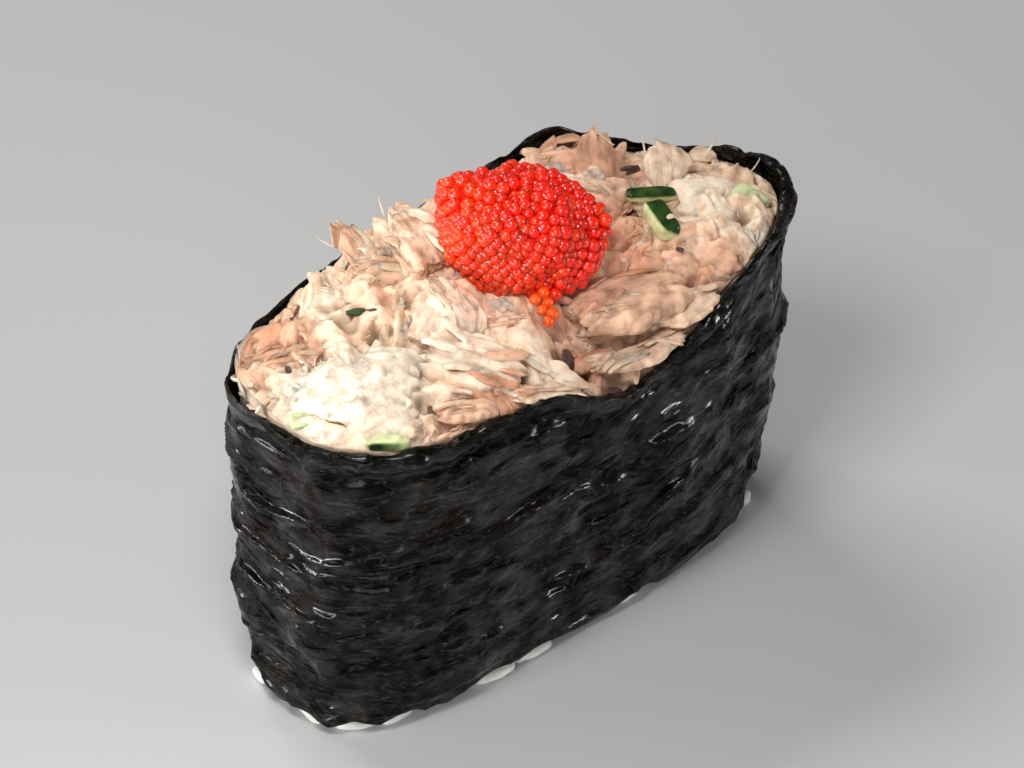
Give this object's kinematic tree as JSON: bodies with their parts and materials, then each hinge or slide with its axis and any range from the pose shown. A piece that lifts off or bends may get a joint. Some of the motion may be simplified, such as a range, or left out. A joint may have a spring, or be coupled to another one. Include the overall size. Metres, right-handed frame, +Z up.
{
  "type": "gunkan sushi",
  "caption": "Oval rice block in an upright seaweed wrap, heaped with a flaked fish and cucumber salad and topped with a mound of small red roe.",
  "frame": {"origin": "middle of the rice block's flat underside, on the surface that the sushi stands on", "axes": "+Z up, X along the oval's length, Y across it; the large creamy lump is at the -X end and the dip in the rim on the -Y side"},
  "size_m": [0.06, 0.0305, 0.046],
  "materials": {
    "nori": "moist dark seaweed sheet with fine creases and a soft gloss",
    "rice": "moist cooked rice, slightly translucent",
    "salad": "moist fish flakes and cucumber in mayonnaise",
    "roe": "glossy translucent eggs"
  },
  "bodies": {
    "root": {"nori_wrap": "nori", "rice_block": "rice", "fish_salad": "salad", "roe_mound": "roe"}
  },
  "joints": []
}
